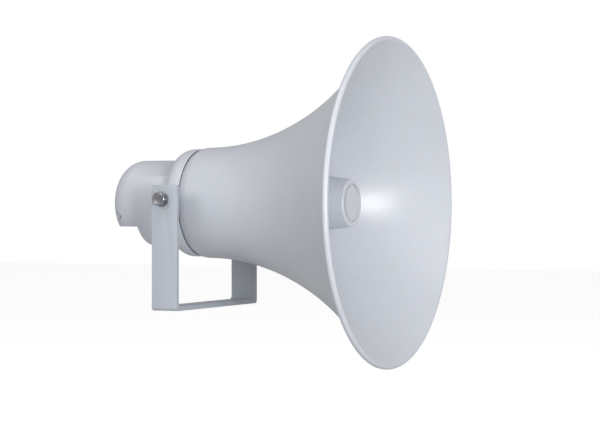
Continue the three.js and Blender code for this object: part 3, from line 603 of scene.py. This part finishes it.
def make_stay_plate():
    """A disc clamped behind the bell, with two arms bent forward to the bracket's legs."""
    low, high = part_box("stay_plate")
    outline = bent_outline(high[1], high[0] - low[0], STAY_STRIP, 3 * MM, 6 * MM)
    turned_outline = [(b, a) for a, b in outline]
    ears = Vector((low[0], 0, TILT_Z))
    plate = prism("stay_plate_pressed", turned_outline, "Z", -STAY_ARM_HALF, STAY_ARM_HALF, ears)
    disc_radius = high[2] - AXIS_Z
    combine(plate, "UNION", [rod("X", disc_radius, low[0], low[0] + STAY_STRIP, sides=96)])
    holes = [rod("Y", BOLT_HOLE, low[1] - MM, high[1] + MM, TILT, 40)]
    holes.append(rod("X", BELL_HOLE, low[0] - MM, low[0] + STAY_STRIP + MM, sides=64))
    return soften(combine(plate, "DIFFERENCE", holes), 0.5 * MM)


dress(make_bracket(), "bracket", bracket_paint, "u_bracket")
dress(make_stay_plate(), "horn", bracket_paint, "stay_plate")


# ---------------------------------------------------------------- tilt hardware
def span_y(node, side):
    """Where a hinge piece starts and ends, counted outwards from the bracket's middle."""
    low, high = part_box(node)
    return (low[1], high[1]) if side > 0 else (-high[1], -low[1])


def mirrored(outline, side):
    """An outline counted outwards, turned towards its own side of the bracket."""
    return [(p * side, r) for p, r in outline]


def make_tilt_bolt(side, word):
    """A hexagon head, chamfered as turned stock is, with its shank and a few threads."""
    start, end = span_y(f"tilt_bolt_{word}", side)
    head_height = 5.3 * MM
    flats = 13 * MM
    corner = flats / math.sqrt(3)
    face = end - head_height
    low, high = sorted((face * side, end * side))
    head = prism(f"tilt_bolt_head_{word}", hexagon(flats), "Y", low, high, TILT)
    chamfer = 1.1 * MM
    envelope = mirrored([
        (face - MM, 0), (face, flats * 0.48), (face + 0.4 * MM, corner + 0.1 * MM),
        (end - chamfer, corner + 0.1 * MM), (end, flats / 2 - 0.5 * MM),
        (end - 0.25 * MM, flats / 2 - 1.6 * MM), (end - 0.25 * MM, 0),
    ], side)
    tool = turned("tool", envelope, "Y", TILT, 96)
    combine(head, "INTERSECT", [tool])
    radius = 3.95 * MM
    pitch = 1.25 * MM
    count = int((face - start) / pitch)
    shank = [(face + 0.5 * MM, 0), (face + 0.5 * MM, radius)]
    for i in range(count):
        crest = face - i * pitch
        shank += [(crest, radius), (crest - pitch / 2, radius - 0.55 * MM)]
    shank += [(start, radius - 0.9 * MM), (start, 0)]
    thread = turned("tool", mirrored(shank, side), "Y", TILT, 48)
    combine(head, "UNION", [thread])
    return soften(head, 0.18 * MM, 2)


def make_spring_washer(side, word):
    """A split ring of square wire, its two ends a little out of line."""
    start, end = span_y(f"spring_washer_{word}", side)
    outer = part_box(f"spring_washer_{word}")[1][2] - TILT_Z
    inner = BOLT_HOLE
    drift = 0.25 * MM
    thickness = end - start - drift
    edge = 0.25 * MM
    bm = bmesh.new()
    rings = []
    steps = 72
    gap = 14
    for i in range(steps + 1):
        angle = math.radians(gap / 2 + (360 - gap) * i / steps + 75)
        base = start + drift * i / steps
        section = eased([
            (base, inner, edge), (base + thickness, inner, edge),
            (base + thickness, outer, edge), (base, outer, edge),
        ], 2)
        place = basis("Y", TILT)
        rings.append([bm.verts.new(place(p * side, r, angle)) for p, r in section])
    size = len(rings[0])
    for ring, following in zip(rings, rings[1:]):
        for i in range(size):
            j = (i + 1) % size
            bm.faces.new((ring[i], ring[j], following[j], following[i]))
    bm.faces.new(rings[0])
    bm.faces.new(rings[-1])
    return new_object(f"spring_washer_coil_{word}", bm, 50)


def make_flat_ring(name, node, side, edge):
    """A washer with eased edges, in the place and size of its node."""
    start, end = span_y(node, side)
    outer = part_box(node)[1][2] - TILT_Z
    outline = eased([
        (start, BOLT_HOLE, edge), (end, BOLT_HOLE, edge),
        (end, outer, edge), (start, outer, edge),
    ])
    return turned(name, mirrored(outline, side), "Y", TILT, 96)


def make_weld_nut(side, word):
    """The hexagon nut on the inside of a stay plate's ear."""
    start, end = span_y(f"weld_nut_{word}", side)
    low, high = sorted((start * side, end * side))
    nut = prism(f"weld_nut_hexagon_{word}", hexagon(14 * MM), "Y", low, high, TILT)
    combine(nut, "DIFFERENCE", [rod("Y", BOLT_HOLE, low - MM, high + MM, TILT, 40)])
    return soften(nut, 0.6 * MM)


for hinge_side, hinge_word in ((-1, "right"), (1, "left")):
    bolt = make_tilt_bolt(hinge_side, hinge_word)
    dress(bolt, "horn", steel, f"tilt_bolt_{hinge_word}")
    split = make_spring_washer(hinge_side, hinge_word)
    dress(split, "horn", steel, f"spring_washer_{hinge_word}")
    flat_node = f"flat_washer_{hinge_word}"
    flat = make_flat_ring(f"flat_washer_disc_{hinge_word}", flat_node, hinge_side, 0.3 * MM)
    dress(flat, "bracket", steel, flat_node)
    pad_node = f"friction_washer_{hinge_word}"
    pad = make_flat_ring(f"friction_washer_disc_{hinge_word}", pad_node, hinge_side, 0.2 * MM)
    dress(pad, "bracket", plastic, pad_node)
    nut_piece = make_weld_nut(hinge_side, hinge_word)
    dress(nut_piece, "horn", zinc, f"weld_nut_{hinge_word}")


# ---------------------------------------------------------------- rear cover
def screw_place(node):
    """The middle of a node across X, as an origin for pieces turned about a line along X."""
    low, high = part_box(node)
    return Vector((0, (low[1] + high[1]) / 2, (low[2] + high[2]) / 2))


def make_rear_cover():
    """A spun cap with a notch for the cable, three screw wells and a cup for the selector."""
    low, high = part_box("rear_cover")
    rear, front = low[0], high[0]
    radius = high[1]
    wall = 2.2 * MM
    crown = 25.9 * MM
    roof = AXIS_Z - 26 * MM
    step = rear + 34.6 * MM

    def dome(shrink, start):
        centre = (rear + crown, radius - crown)
        points = [(start, 0), (start, radius - shrink)]
        points += arc(centre, crown - shrink, 90, 180, 32)
        return points + [(rear + shrink, 0)]

    cover = turned("rear_cover_spun", dome(0, front), sides=144)
    reach = radius + MM
    notch = block((rear - MM, step), (-reach, reach), (AXIS_Z - reach, roof))
    hollow = turned("tool", dome(wall, front + MM), sides=96)
    shelf = block((rear - 2 * MM, step + wall), (-reach, reach), (AXIS_Z - reach, roof + wall))
    cup_radius = 12 * MM
    cup_floor = rear + 6 * MM
    cup_skin = rod("X", cup_radius + wall, rear - MM, cup_floor + wall, sides=64)
    places = [screw_place(f"cover_screw_{i}") for i in (1, 2, 3)]
    boss_front = rear + crown - 6 * MM
    bosses = [rod("X", 5.4 * MM, rear, boss_front, p, 32) for p in places]
    combine(hollow, "DIFFERENCE", [shelf, cup_skin, *bosses])
    wells = [rod("X", 3.9 * MM, rear - MM, boss_front - 3 * MM, p, 40) for p in places]
    shanks = [rod("X", 2.3 * MM, boss_front - 4 * MM, boss_front + MM, p, 24) for p in places]
    cup = rod("X", cup_radius, rear - MM, cup_floor, sides=72)
    shaft = rod("X", 2.8 * MM, cup_floor - MM, cup_floor + wall + MM, sides=32)
    gland_at = screw_place("gland_body")
    gland = rod("X", GLAND_HOLE, step - MM, step + wall + MM, gland_at, 40)
    combine(cover, "DIFFERENCE", [notch, hollow, *wells, *shanks, cup, shaft, gland])
    return soften(cover, 0.8 * MM, 4, 50)


dress(make_rear_cover(), "horn", paint, "rear_cover")


def make_cover_screw(index):
    """A pan head with a cross recess, deep in its well, and its long shank."""
    node = f"cover_screw_{index}"
    low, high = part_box(node)
    place = screw_place(node)
    head = 3.6 * MM
    height = 2.6 * MM
    face = low[0] + height
    outline = [(high[0], 0), (high[0], 1.4 * MM), (high[0] - 1.2 * MM, 2 * MM), (face, 2 * MM)]
    outline += [(face, head)]
    outline += arc((face - 1.0 * MM, head - 1.2 * MM), 1.2 * MM, 90, 160, 6)
    outline += [(low[0], head * 0.5), (low[0], 0)]
    screw = turned(f"cover_screw_pan_{index}", outline, "X", place, 48)
    arm = 2.1 * MM
    half = 0.45 * MM
    deep = low[0] + 1.5 * MM
    across = block((low[0] - MM, deep), (-arm, arm), (-half, half), place)
    down = block((low[0] - MM, deep), (-half, half), (-arm, arm), place)
    combine(screw, "DIFFERENCE", [across, down])
    return soften(screw, 0.12 * MM, 2, 35)


for screw_index in (1, 2, 3):
    cover_screw = make_cover_screw(screw_index)
    dress(cover_screw, "horn", steel, f"cover_screw_{screw_index}")


# ---------------------------------------------------------------- tap selector
def make_selector():
    """A moulded knob with a screwdriver slot and fine grips."""
    low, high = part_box("tap_selector")
    knob_rear = low[0]
    knob_front = knob_rear + 4 * MM
    crest = 9 * MM
    root = 8.6 * MM
    outline = gripped(30, (crest, crest, root, root), (0, 0.3, 0.5, 0.8))
    knob = prism("tap_selector_knob", outline, "X", knob_rear, knob_front, HORN)
    combine(knob, "UNION", [rod("X", 2.5 * MM, knob_front - MM, high[0], sides=32)])
    slot_half = 1.0 * MM
    slot_depth = knob_rear + 1.6 * MM
    slot = block((knob_rear - MM, slot_depth), (-slot_half, slot_half), (-7 * MM, 10 * MM), HORN)
    combine(knob, "DIFFERENCE", [slot])
    return soften(knob, 0.2 * MM, 2, 30)


dress(make_selector(), "selector", plastic, "tap_selector")


# ---------------------------------------------------------------- cable gland
def make_gland_nut():
    """The domed nut that squeezes the seal, with grips all round."""
    low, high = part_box("gland_nut")
    place = screw_place("gland_nut")
    radius = high[1]
    root = radius * 0.93
    outline = gripped(16, (radius, radius, root, root), (0, 0.45, 0.6, 0.85))
    nut = prism("gland_nut_ribbed", outline, "X", low[0], high[0], place)
    cap = [(high[0] + MM, 0), (high[0] + MM, radius * 1.1), (low[0] + 1.4 * MM, radius * 1.1)]
    cap += arc((low[0] + 1.6 * MM, radius - 1.6 * MM), 1.6 * MM, 90, 180, 8) + [(low[0], 0)]
    combine(nut, "INTERSECT", [turned("tool", cap, "X", place, 64)])
    bore = rod("X", CABLE_BORE, low[0] - MM, high[0] + MM, place, 40)
    socket = rod("X", GLAND_HOLE, high[0] - 2.8 * MM, high[0] + MM, place, 40)
    combine(nut, "DIFFERENCE", [bore, socket])
    return soften(nut, 0.25 * MM, 2, 35)


def make_gland_body():
    """The gland's hexagon and its threaded tube through the cover."""
    low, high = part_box("gland_body")
    place = screw_place("gland_body")
    hex_low = low[0] + 2.5 * MM
    body = prism("gland_body_hexagon", hexagon(14 * MM), "X", hex_low, hex_low + 3 * MM, place)
    combine(body, "UNION", [rod("X", GLAND_RADIUS, low[0], high[0], place, 40)])
    through = rod("X", CABLE_BORE, low[0] - MM, high[0] + MM, place, 40)
    pocket = rod("X", 4.5 * MM, low[0] - MM, hex_low + 2 * MM, place, 40)
    combine(body, "DIFFERENCE", [through, pocket])
    return soften(body, 0.3 * MM, 2, 35)


def make_gland_seal():
    """The rubber ring that grips the cable."""
    low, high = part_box("gland_seal")
    place = screw_place("gland_seal")
    edge = 0.4 * MM
    outline = eased([
        (low[0], 3 * MM, edge), (low[0], 4.2 * MM, edge),
        (high[0], 4.2 * MM, edge), (high[0], 3 * MM, edge),
    ])
    return turned("gland_seal_ring", outline, "X", place, 64)


dress(make_gland_nut(), "horn", plastic, "gland_nut")
dress(make_gland_body(), "horn", plastic, "gland_body")
dress(make_gland_seal(), "horn", rubber, "gland_seal")

# ---------------------------------------------------------------- pieces that keep their CAD shapes
SLOT_MATERIALS = {
    "coated_steel": bracket_paint,
    "coated_aluminium": paint,
    "bright_steel": steel,
    "zinc_plate": zinc,
    "black_rubber": rubber,
    "moulded_plastic": plastic,
    "ferrite": ferrite,
    "phenolic": resin,
    "copper_wire": wire,
    "laminated_iron": iron,
    "wire_insulation": insulation,
}
node_slots = {part["node"]: part["material_slot"] for part in frame["record"]["subparts"]}
for node_name, cad_object in frame["nodes"].items():
    material = SLOT_MATERIALS[node_slots[node_name]]
    if node_name == "transformer_winding":
        material = winding_wire
    for material_slot in cad_object.material_slots:
        material_slot.material = material


# ---------------------------------------------------------------- floor, light and camera
def make_floor():
    """A pale floor well below the horn, which is held up by its bracket.

    It glows a little where the camera sees it, so that it reads as white except in shadow.
    """
    reach = 7.0
    drop = 0.14
    thickness = 0.02
    camera_glow = 0.7
    level = cad_bounds[0][2] - drop
    outline = [(-reach, -reach), (reach, -reach), (reach, reach), (-reach, reach)]
    floor = prism("floor", outline, "Z", level - thickness, level)
    n = Nodes("pale_floor")
    n.fixed(Roughness=0.9, Specular_IOR_Level=0.1)
    n.shader.inputs["Base Color"].default_value = (0.6, 0.6, 0.6, 1)
    seen = n.add("ShaderNodeLightPath").outputs["Is Camera Ray"]
    glow_power = n.add("ShaderNodeMath", {0: seen, 1: camera_glow}, operation="MULTIPLY")
    glow = n.add("ShaderNodeEmission", {"Strength": glow_power.outputs[0]})
    total = n.add("ShaderNodeAddShader")
    n.tree.links.new(n.shader.outputs[0], total.inputs[0])
    n.tree.links.new(glow.outputs[0], total.inputs[1])
    output = n.tree.nodes["Material Output"]
    n.tree.links.new(total.outputs[0], output.inputs["Surface"])
    floor.data.materials.append(n.material)


def make_world():
    """White where the camera sees it, directly or through a transmitting surface, and a soft fill
    for everything else.
    """
    world = bpy.data.worlds.new("studio")
    world.use_nodes = True
    bpy.context.scene.world = world
    tree = world.node_tree
    background = tree.nodes["Background"]
    background.inputs["Color"].default_value = (1, 1, 1, 1)
    path = tree.nodes.new("ShaderNodeLightPath")
    seen = tree.nodes.new("ShaderNodeMath")
    seen.operation = "MAXIMUM"
    tree.links.new(path.outputs["Is Camera Ray"], seen.inputs[0])
    tree.links.new(path.outputs["Is Transmission Ray"], seen.inputs[1])
    strength = tree.nodes.new("ShaderNodeMapRange")
    strength.inputs["To Min"].default_value = FILL
    strength.inputs["To Max"].default_value = 1.0
    tree.links.new(seen.outputs[0], strength.inputs["Value"])
    tree.links.new(strength.outputs["Result"], background.inputs["Strength"])


def make_lamp(name, place, size, power):
    """A soft rectangular lamp, aimed at the horn."""
    lamp = bpy.data.lights.new(name, "AREA")
    lamp.shape = "RECTANGLE"
    lamp.size, lamp.size_y = size
    lamp.energy = power
    obj = bpy.data.objects.new(name, lamp)
    bpy.context.collection.objects.link(obj)
    obj.location = place
    aim = Vector((0.08, 0, AXIS_Z)) - Vector(place)
    obj.rotation_euler = aim.to_track_quat("-Z", "Y").to_euler()


def make_camera():
    """A long lens at the height of the horn's axis, about 25 degrees round from its side."""
    turn = math.radians(24.76)
    distance = 2.195
    aside = 0.1029
    camera = bpy.data.cameras.new("camera")
    camera.lens = 120
    camera.sensor_width = 36
    camera.shift_y = -0.0186
    obj = bpy.data.objects.new("camera", camera)
    bpy.context.collection.objects.link(obj)
    right = Vector((math.cos(turn), math.sin(turn), 0))
    forward = Vector((-math.sin(turn), math.cos(turn), 0))
    obj.location = HORN + right * aside - forward * distance
    obj.rotation_euler = forward.to_track_quat("-Z", "Y").to_euler()
    bpy.context.scene.camera = obj


# The world's strength on the object, and each lamp's name, place, size and watts.
FILL = 0.42
LAMPS = (
    ("top_softbox", (0.1, -0.9, 1.9), (1.8, 1.4), 11),
    ("front_softbox", (1.67, -1.48, 0.12), (0.5, 0.5), 23),
    ("side_softbox", (-0.4, -2.2, 1.0), (1.2, 1.2), 12),
    ("mouth_softbox", (2.5, -0.2, 0.6), (1.5, 1.5), 9),
)
make_floor()
make_world()
for lamp in LAMPS:
    make_lamp(*lamp)
make_camera()
bpy.context.scene.view_settings.view_transform = "Standard"
